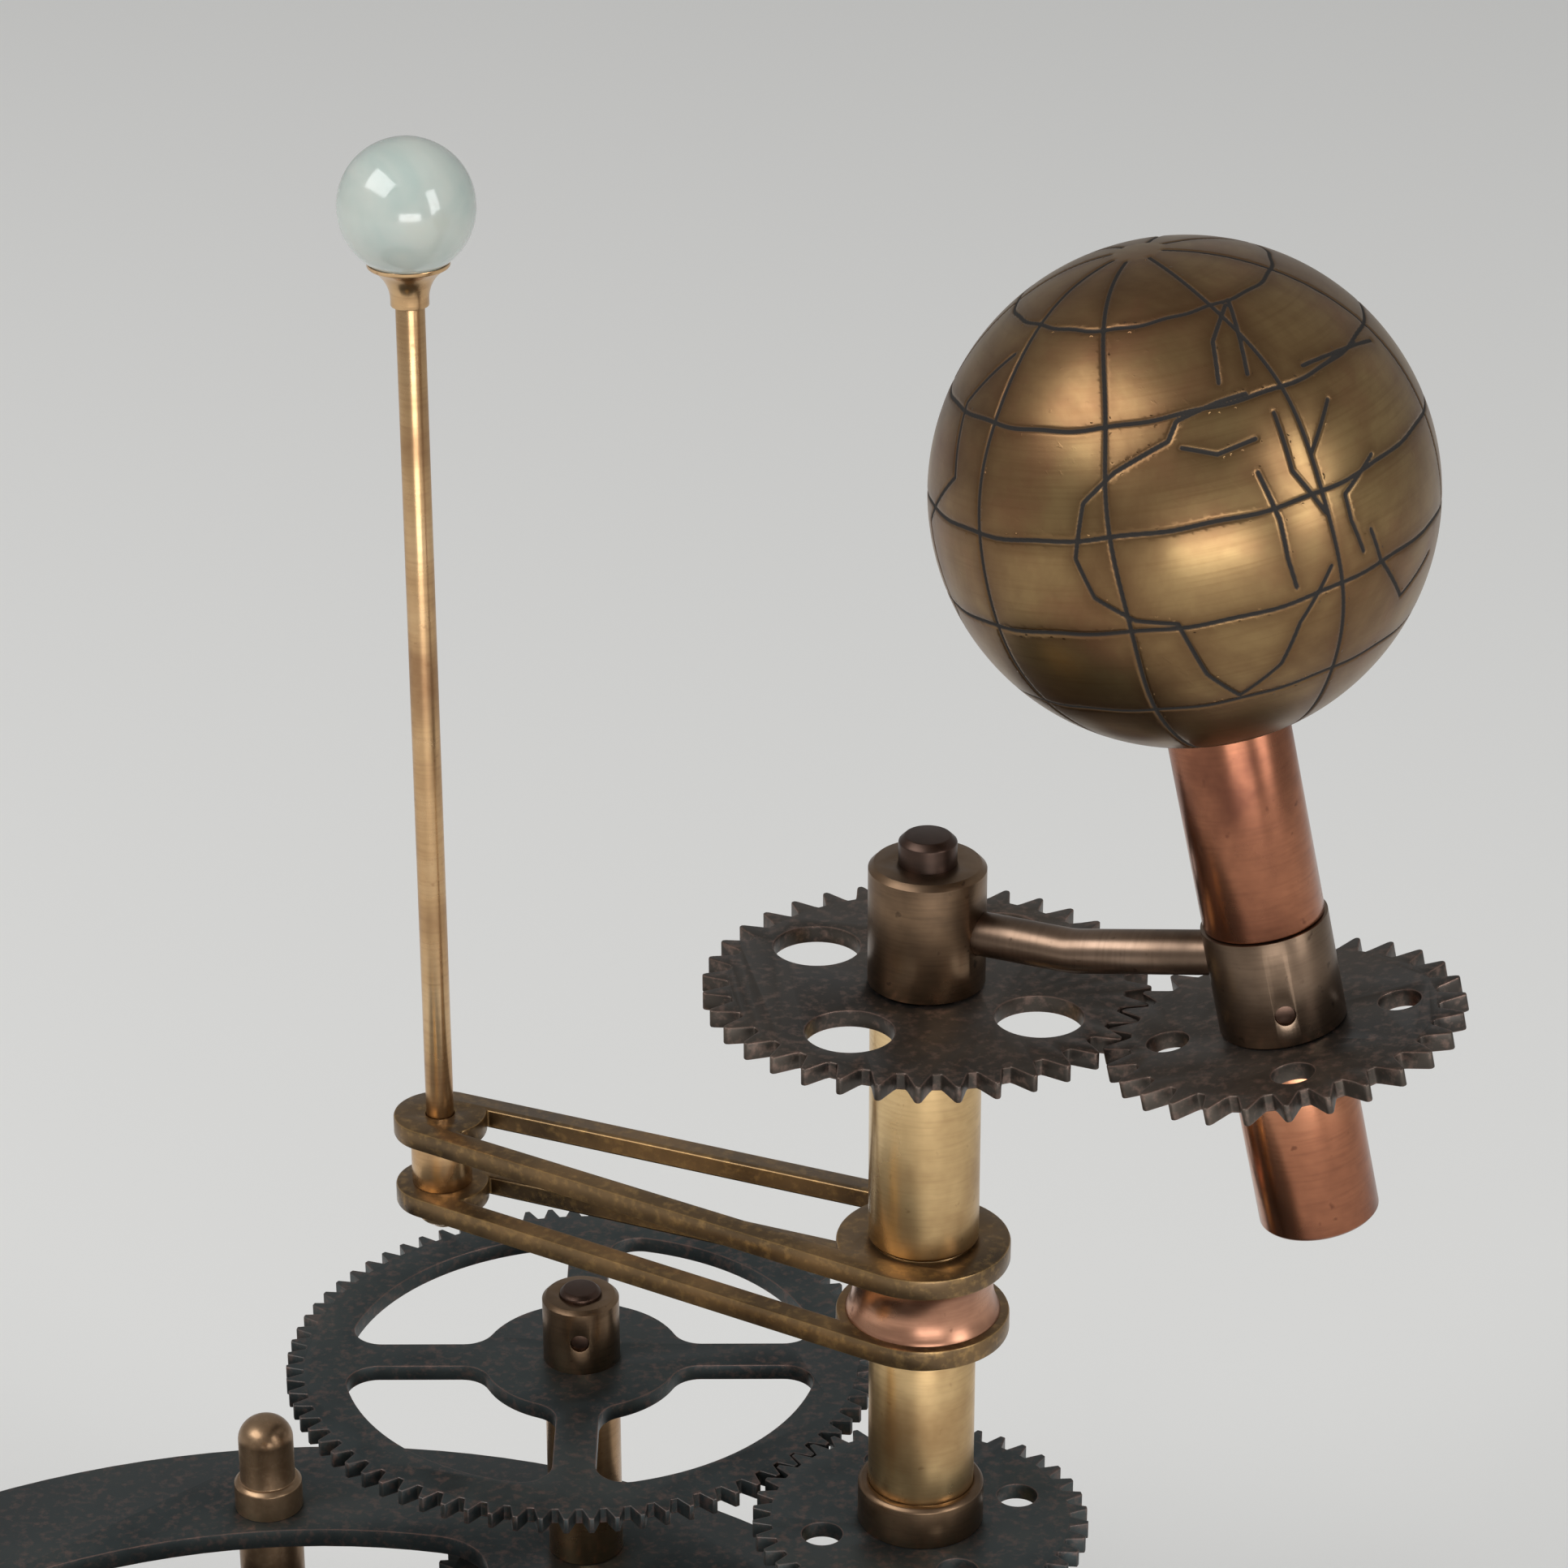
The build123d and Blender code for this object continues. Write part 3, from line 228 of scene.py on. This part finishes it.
def engraved_brass():
    """The globe: aged turned brass with dark wax left in every engraved line."""
    finish = Finish("engraved_brass")
    place = finish.coordinates(globe_centre, earth_axis)
    clouds = finish.noise(place, 38, 6, 0.62, 0.4)
    patches = finish.noise(place, 95, 4, 0.6)
    rings = finish.noise(finish.coordinates(globe_centre, earth_axis, (0.03, 0.03, 1)), 2400, 3, 0.55)
    rubbing = finish.coordinates(globe_centre, (0.6, 0.2, 0.7), (0.04, 1, 1))
    scratches = finish.level(finish.noise(rubbing, 1500, 2, 0.5), 0.0, 1.0, 0.66, 0.74)
    halo = finish.maths("MULTIPLY", finish.attribute("halo"), 0.55)
    waxed = finish.level(finish.attribute("cut"), 0.0, 1.0, 0.15, 0.55)
    body = finish.ramp(clouds, (
        (0.30, (0.125, 0.066, 0.032)),
        (0.45, (0.215, 0.130, 0.060)),
        (0.60, (0.31, 0.205, 0.092)),
        (0.76, (0.42, 0.29, 0.135)),
    ))
    reddened = finish.mix(finish.level(patches, 0.0, 0.55, 0.50, 0.72), body, (0.22, 0.095, 0.052))
    lined = finish.mix(finish.level(rings, 0.0, 0.35, 0.48, 0.78), reddened, (0.16, 0.085, 0.035))
    stained = finish.mix(halo, lined, (0.10, 0.050, 0.024))
    finish.set(Base_Color=finish.mix(waxed, stained, (0.010, 0.007, 0.005)))
    finish.set(Metallic=finish.level(waxed, 1.0, 0.1))
    polish = finish.level(clouds, 0.40, 0.27, 0.3, 0.7)
    finish.set(Roughness=finish.maths("ADD", polish, finish.maths("MULTIPLY", waxed, 0.45)))
    ring_relief = finish.bump(rings, 0.22, 0.025 * MM)
    scratched = finish.bump(scratches, 0.25, 0.02 * MM, ring_relief)
    finish.set(Normal=finish.bump(patches, 0.12, 0.2 * MM, scratched))
    return finish.material


def opal_glass():
    """Milky glass: white with a breath of green in slow clouds."""
    finish = Finish("opal_glass")
    clouds = finish.noise(finish.coordinates(moon_centre), 90, 3, 0.5, 0.8)
    body = finish.ramp(clouds, (
        (0.35, (0.55, 0.64, 0.60)),
        (0.55, (0.66, 0.71, 0.66)),
        (0.75, (0.72, 0.74, 0.66)),
    ))
    finish.set(Base_Color=body, Roughness=finish.level(clouds, 0.10, 0.18, 0.3, 0.7))
    finish.set(Transmission_Weight=0.35, Subsurface_Weight=0.5, IOR=1.46)
    finish.set(Coat_Weight=0.6, Coat_Roughness=0.05)
    finish.shader.inputs["Subsurface Radius"].default_value = (4 * MM, 5 * MM, 5 * MM)
    return finish.material


def waxed_walnut():
    """Dark turned wood: a clouded figure and fine fibres, both drawn out along the grain."""
    finish = Finish("waxed_walnut")
    grain = (0, 1, 0.06)
    figure_place = finish.coordinates((0.3, 0, 0), grain, (1, 1, 0.06))
    fibre_place = finish.coordinates((0, 0, 0), grain, (1, 1, 0.02))
    figure = finish.noise(figure_place, 26, 6, 0.6, 1.2)
    fibres = finish.noise(fibre_place, 900, 4, 0.6)
    body = finish.ramp(figure, (
        (0.30, (0.030, 0.014, 0.007)),
        (0.52, (0.075, 0.035, 0.016)),
        (0.75, (0.14, 0.07, 0.032)),
    ))
    lined = finish.mix(finish.level(fibres, 0.0, 0.6, 0.45, 0.75), body, (0.022, 0.010, 0.005))
    finish.set(Base_Color=lined, Roughness=finish.level(fibres, 0.28, 0.48, 0.3, 0.7))
    finish.set(Coat_Weight=0.25, Coat_Roughness=0.2)
    finish.set(Normal=finish.bump(fibres, 0.3, 0.05 * MM))
    return finish.material


# Patinated plate: the face's own colour, its shade, the worn edge and the lighter tint
gear_finish = patina_bronze(
    "blackened_gear",
    (0.074, 0.062, 0.052), (0.040, 0.036, 0.033), (0.40, 0.25, 0.20), (0.12, 0.098, 0.080),
)
wheel_finish = patina_bronze(
    "blackened_wheel",
    (0.058, 0.070, 0.072), (0.035, 0.042, 0.044), (0.34, 0.19, 0.15), (0.085, 0.094, 0.090),
)
brown_finish = patina_bronze(
    "brown_bronze",
    (0.26, 0.165, 0.095), (0.12, 0.070, 0.042), (0.50, 0.33, 0.20), (0.36, 0.25, 0.155),
    roughness=(0.22, 0.42),
)
arm_finish = patina_bronze(
    "golden_bronze",
    (0.20, 0.125, 0.060), (0.09, 0.060, 0.035), (0.62, 0.38, 0.14), (0.34, 0.20, 0.085),
    roughness=(0.25, 0.45),
)

# Turned metal: its bright, middle and dark colours, and the axis that it was turned about
column_brass = turned_metal(
    "column_brass", (0.80, 0.60, 0.34), (0.66, 0.46, 0.23), (0.36, 0.22, 0.10), column_axis
)
arbor_brass = turned_metal(
    "arbor_brass", (0.62, 0.42, 0.24), (0.45, 0.28, 0.15), (0.22, 0.12, 0.06), arbor_axis
)
rod_brass = turned_metal(
    "rod_brass", (0.74, 0.52, 0.30), (0.58, 0.37, 0.19), (0.30, 0.16, 0.08), moon_centre
)
stand_brass = turned_metal(
    "stand_brass", (0.66, 0.48, 0.26), (0.50, 0.34, 0.17), (0.26, 0.16, 0.07), stand_axis
)
sun_brass = turned_metal(
    "sun_brass", (0.80, 0.60, 0.30), (0.66, 0.46, 0.20), (0.38, 0.22, 0.09), stand_axis,
    roughness=(0.30, 0.14),
)
barrel_copper = turned_metal(
    "barrel_copper", (0.58, 0.27, 0.15), (0.38, 0.155, 0.085), (0.15, 0.058, 0.036),
    earth_gear_centre, earth_axis, roughness=(0.32, 0.16),
)
dark_bronze = turned_metal(
    "dark_bronze", (0.15, 0.09, 0.065), (0.085, 0.052, 0.040), (0.035, 0.026, 0.022), column_axis,
    roughness=(0.45, 0.26),
)
bent_bronze = turned_metal(
    "bent_bronze", (0.30, 0.21, 0.155), (0.20, 0.135, 0.095), (0.085, 0.058, 0.042),
    column_axis, bent_arm_run, roughness=(0.42, 0.24),
)
spool_copper = turned_metal(
    "spool_copper", (0.72, 0.42, 0.27), (0.52, 0.27, 0.17), (0.24, 0.11, 0.07), column_axis
)
collar_bronze = turned_metal(
    "collar_bronze", (0.27, 0.195, 0.14), (0.175, 0.12, 0.082), (0.075, 0.050, 0.035),
    earth_gear_centre, earth_axis, roughness=(0.42, 0.24),
)
hub_bronze = turned_metal(
    "hub_bronze", (0.31, 0.205, 0.125), (0.195, 0.125, 0.075), (0.060, 0.040, 0.028), column_axis,
    roughness=(0.44, 0.24),
)
plain_steel = turned_metal(
    "plain_steel", (0.60, 0.58, 0.55), (0.50, 0.48, 0.45), (0.30, 0.28, 0.25), column_axis
)
globe_finish = engraved_brass()
moon_finish = opal_glass()
base_finish = waxed_walnut()

# The finish of each material slot, and of the pieces that differ from their slot
slot_finishes = {
    "patina_bronze": wheel_finish,
    "dark_bronze": brown_finish,
    "brass": column_brass,
    "aged_brass": sun_brass,
    "copper": barrel_copper,
    "steel": plain_steel,
    "moon_glass": moon_finish,
    "walnut": base_finish,
}
special_finishes = {
    gear_finish: ("fixed_gear", "earth_gear"),
    arm_finish: ("lower_moon_arm", "upper_moon_arm"),
    spool_copper: ("arm_spool",),
    rod_brass: ("moon_rod", "moon_cup", "rod_bush", "rod_nut"),
    arbor_brass: ("arbor_post", "arbor_foot"),
    hub_bronze: ("arm_hub", "month_wheel_hub", "moon_wheel_hub"),
    collar_bronze: ("axle_collar",),
    bent_bronze: ("bent_arm",),
    dark_bronze: ("arm_spindle", "month_arbor", "arm_hub_screw", "collar_screw", "month_hub_screw"),
    stand_brass: ("upper_hub", "lower_hub", "centre_post", "year_wheel_hub"),
    sun_brass: ("end_nut",),
    globe_finish: ("earth_globe",),
}
finish_of = {node: slot_finishes[slot] for node, slot in slots.items()}
for finish, nodes in special_finishes.items():
    finish_of.update({node: finish for node in nodes})


def paint(piece, material):
    piece.data.materials.clear()
    piece.data.materials.append(material)
    for face in piece.data.polygons:
        face.material_index = 0


def dress(piece, node):
    """Gives a piece its finish and its body, and lets it stand for its CAD piece."""
    paint(piece, finish_of[node])
    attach(piece, body_of_node[node])
    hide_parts(node)


def make_active(piece):
    bpy.ops.object.select_all(action="DESELECT")
    piece.select_set(True)
    bpy.context.view_layer.objects.active = piece


for node, cad_piece in frame["nodes"].items():
    paint(cad_piece, finish_of[node])

# Every piece keeps its CAD outline and gets rounded, worn edges; the globe and the Moon come below
worn_edges = {
    "fixed_gear": 0.14 * MM,
    "earth_gear": 0.14 * MM,
    "month_wheel": 0.10 * MM,
    "moon_wheel": 0.10 * MM,
    "year_wheel": 0.10 * MM,
    "arm_wheel": 0.10 * MM,
    "arm_pinion": 0.10 * MM,
    "year_pinion": 0.10 * MM,
    "upper_plate": 0.25 * MM,
    "lower_plate": 0.25 * MM,
    "lower_moon_arm": 0.30 * MM,
    "upper_moon_arm": 0.30 * MM,
    "base": 0.40 * MM,
}
plain_edge = 0.12 * MM
merge_distance = 0.001 * MM
flat_angle = math.radians(0.5)
sharp_angle = math.radians(38)
smooth_angle = math.radians(32)


def worn_copy(node, edge):
    """A copy of a CAD piece with its facets joined up and its sharp edges rounded off."""
    source = frame["nodes"][node]
    piece = source.copy()
    piece.data = source.data.copy()
    piece.name = node + "_worn"
    piece.parent = None
    piece.matrix_world = Matrix.Identity(4)
    bpy.context.collection.objects.link(piece)
    make_active(piece)
    bpy.ops.object.mode_set(mode="EDIT")
    bpy.ops.mesh.select_all(action="SELECT")
    bpy.ops.mesh.remove_doubles(threshold=merge_distance)
    bpy.ops.mesh.dissolve_limited(angle_limit=flat_angle)
    bpy.ops.object.mode_set(mode="OBJECT")
    rounding = piece.modifiers.new("edge", "BEVEL")
    rounding.width = edge
    rounding.segments = 2
    rounding.limit_method = "ANGLE"
    rounding.angle_limit = sharp_angle
    rounding.use_clamp_overlap = True
    bpy.ops.object.modifier_apply(modifier=rounding.name)
    bpy.ops.object.shade_smooth_by_angle(angle=smooth_angle)
    dress(piece, node)


for node in frame["nodes"]:
    if node not in ("earth_globe", "moon_ball"):
        worn_copy(node, worn_edges.get(node, plain_edge))


def fine_ball(name, centre, radius, subdivisions):
    bpy.ops.object.select_all(action="DESELECT")
    bpy.ops.mesh.primitive_ico_sphere_add(subdivisions=subdivisions, radius=radius, location=centre)
    ball = bpy.context.object
    ball.name = name
    bpy.ops.object.transform_apply(location=True, rotation=True, scale=True)
    bpy.ops.object.shade_smooth()
    return ball


# Engraving on the globe, in degrees: circles of latitude, meridians, and map outlines as runs of
# latitude and longitude, the last two on the side that the photograph doesn't show
parallels = (60, 36, 12, -10, -34, -62)
meridians = (-141, -98, -54, -18, 31, 78, 122, 168)
coasts = (
    ((31, -2), (26, -16), (20, -24), (8, -27), (-1, -24), (-7, -16), (-9, -7), (-24, -3), (-33, 4),
     (-26, 15), (-16, 20), (-5, 29)),
    ((20, 17), (9, 19), (0, 19), (-7, 20)),
    ((31, -2), (35, 1), (37, 13), (37, 21)),
    ((29, 1), (26, 9), (27, 19)),
    ((31, 26), (18, 25), (7, 30)),
    ((29, 42), (20, 31)),
    ((14, 47), (9, 36), (3, 36), (-5, 38)),
    ((-1, 41), (-9, 43), (-22, 52), (-17, 66)),
    ((59, 33), (51, 19), (41, 15)),
    ((60, 36), (41, 24)),
    ((38, 41), (37, 53), (33, 73)),
    ((48, 110), (30, 128), (12, 120), (-4, 134), (-22, 126), (-35, 140), (-20, 156), (2, 150),
     (22, 162), (44, 148)),
    ((52, -60), (38, -72), (22, -66), (8, -82), (-12, -76), (-28, -90), (-40, -80)),
)
groove_half_width = 0.36 * MM
groove_depth = 0.18 * MM
stain_width = 1.3 * MM
fine_mesh_reach = 2.2 * groove_half_width

# How the hand that cut the lines wandered, in degrees
slow_wander = 0.35
quick_wander = 0.2
meridian_wander = 0.5
meridian_end = 84
lean_start = 30
lean_at_pole = 14


def globe_direction(latitude, longitude):
    """The direction from the globe's centre to a place on it; 0, 0 faces the photograph's camera."""
    north = math.radians(latitude)
    east = math.radians(longitude)
    level = globe_front * math.cos(east) + globe_east * math.sin(east)
    return np.array(earth_axis * math.sin(north) + level * math.cos(north))


def wave(angle, waves_a_turn, shift=0):
    return np.sin(np.radians(angle * waves_a_turn + shift))


def parallel_distance(number, latitude, longitude):
    """How far points lie from a circle of latitude; each circle wanders in its own way."""
    wander = slow_wander * wave(longitude, 5, 70 * number) + quick_wander * wave(longitude, 17)
    return np.radians(np.abs(latitude - parallels[number] - wander)) * globe_radius


def meridian_distance(number, latitude, longitude):
    """How far points lie from a meridian, which leans west near the top and ends short of the poles."""
    leaning = np.clip((latitude - lean_start) / (90 - lean_start), 0, 1) ** 2
    lean = meridian_wander * wave(latitude, 7, 50 * number) - lean_at_pole * leaning
    off = (longitude - meridians[number] - lean + 180) % 360 - 180
    across = np.radians(np.abs(off)) * np.cos(np.radians(latitude)) * globe_radius
    return np.where(np.abs(latitude) < meridian_end, across, np.inf)


def stroke_distance(start, end, directions):
    """How far points lie from a straight stroke between two places."""
    first = globe_direction(*start)
    run = globe_direction(*end) - first
    share = np.clip((directions - first) @ run / (run @ run), 0, 1)
    foot = first + share[:, None] * run
    foot /= np.linalg.norm(foot, axis=1)[:, None]
    return np.linalg.norm(directions - foot, axis=1) * globe_radius


def line_distance(directions):
    """How far each point of the globe lies from the nearest engraved line, in metres."""
    latitude = np.degrees(np.arcsin(np.clip(directions @ np.array(earth_axis), -1, 1)))
    east_share = directions @ np.array(globe_east)
    front_share = directions @ np.array(globe_front)
    longitude = np.degrees(np.arctan2(east_share, front_share))
    nearest = np.full(len(directions), np.inf)
    for number in range(len(parallels)):
        nearest = np.minimum(nearest, parallel_distance(number, latitude, longitude))
    for number in range(len(meridians)):
        nearest = np.minimum(nearest, meridian_distance(number, latitude, longitude))
    for coast in coasts:
        for start, end in zip(coast, coast[1:]):
            nearest = np.minimum(nearest, stroke_distance(start, end, directions))
    return nearest


def directions_of(ball, centre):
    """The direction of each of a ball's points from its centre."""
    flat = np.empty(len(ball.data.vertices) * 3)
    ball.data.vertices.foreach_get("co", flat)
    directions = flat.reshape(-1, 3) - np.array(centre)
    return directions / np.linalg.norm(directions, axis=1)[:, None]


def refine_near_lines(ball):
    """Divides the ball's faces beside the engraved lines once more."""
    near = line_distance(directions_of(ball, globe_centre)) < fine_mesh_reach
    make_active(ball)
    bpy.ops.object.mode_set(mode="EDIT")
    bpy.ops.mesh.select_mode(type="VERT")
    bpy.ops.mesh.select_all(action="DESELECT")
    bpy.ops.object.mode_set(mode="OBJECT")
    ball.data.vertices.foreach_set("select", near)
    bpy.ops.object.mode_set(mode="EDIT")
    bpy.ops.mesh.select_mode(type="EDGE")
    bpy.ops.mesh.subdivide(number_cuts=1)
    bpy.ops.mesh.select_all(action="SELECT")
    bpy.ops.mesh.quads_convert_to_tris()
    bpy.ops.object.mode_set(mode="OBJECT")


def engraved_globe():
    """A ball whose engraved lines are real grooves, with a stain along them for its finish."""
    ball = fine_ball("engraved_globe", globe_centre, globe_radius, 7)
    refine_near_lines(ball)
    directions = directions_of(ball, globe_centre)
    distance = line_distance(directions)
    share = np.clip(1 - distance / groove_half_width, 0, 1)
    cut = share * share * (3 - 2 * share)
    halo = np.exp(-(distance / stain_width) ** 2)
    places = np.array(globe_centre) + directions * (globe_radius - groove_depth * cut)[:, None]
    ball.data.vertices.foreach_set("co", places.ravel())
    for label, values in (("cut", cut), ("halo", halo)):
        layer = ball.data.attributes.new(label, "FLOAT", "POINT")
        layer.data.foreach_set("value", values)
    ball.data.update()
    dress(ball, "earth_globe")


def glass_moon():
    """A hand-ground glass ball, a little out of round."""
    ball = fine_ball("glass_moon", moon_centre, moon_radius, 6)
    ground = bpy.data.textures.new("hand_ground", "CLOUDS")
    ground.noise_scale = 6 * MM
    uneven = ball.modifiers.new("ground", "DISPLACE")
    uneven.texture = ground
    uneven.strength = 0.05 * MM
    uneven.mid_level = 1.0
    make_active(ball)
    bpy.ops.object.modifier_apply(modifier=uneven.name)
    dress(ball, "moon_ball")


engraved_globe()
glass_moon()


# Stage, light and camera

def pale_floor():
    bpy.ops.mesh.primitive_plane_add(size=8.0, location=(0, 0, 0))
    floor = bpy.context.object
    floor.name = "floor"
    finish = Finish("floor")
    finish.set(Base_Color=(0.86, 0.86, 0.85), Roughness=0.9)
    paint(floor, finish.material)


def softbox(name, place, width, height, power):
    """A rectangular lamp that looks at the middle of the column."""
    lit_point = Vector((0.06, 0.02, 0.15))
    bpy.ops.object.light_add(type="AREA", location=place)
    lamp = bpy.context.object
    lamp.name = name
    lamp.data.shape = "RECTANGLE"
    lamp.data.size = width
    lamp.data.size_y = height
    lamp.data.energy = power
    lamp.rotation_euler = (lit_point - Vector(place)).to_track_quat("-Z", "Y").to_euler()


def room_light():
    world = bpy.data.worlds.new("room")
    bpy.context.scene.world = world
    world.use_nodes = True
    background = world.node_tree.nodes["Background"]
    background.inputs["Color"].default_value = (0.66, 0.66, 0.65, 1)
    background.inputs["Strength"].default_value = 0.55


pale_floor()
softbox("key_softbox", (-0.9, -0.5, 1.3), 1.3, 0.8, 15)
softbox("fill_softbox", (1.3, -0.9, 0.7), 0.5, 1.1, 9)
softbox("front_softbox", (0.30, -1.5, 0.12), 1.0, 0.45, 8)
room_light()

# The camera stands where a fit to the photograph's wheels and globe puts it
camera_from_column = Vector((-15.236, -450.663, 229.930)) * MM
camera_pitch = math.radians(24.638)
camera_roll = math.radians(-0.147)
bpy.ops.object.camera_add(location=column_axis + camera_from_column)
camera = bpy.context.object
camera.name = "photo_camera"
look = Matrix.Rotation(math.pi / 2 - camera_pitch, 3, "X") @ Matrix.Rotation(camera_roll, 3, "Z")
camera.rotation_euler = look.to_euler()
camera.data.sensor_width = 36.0
camera.data.lens = 108.07
camera.data.clip_start = 0.01
camera.data.clip_end = 30.0
bpy.context.scene.camera = camera
bpy.context.scene.view_settings.view_transform = "Standard"
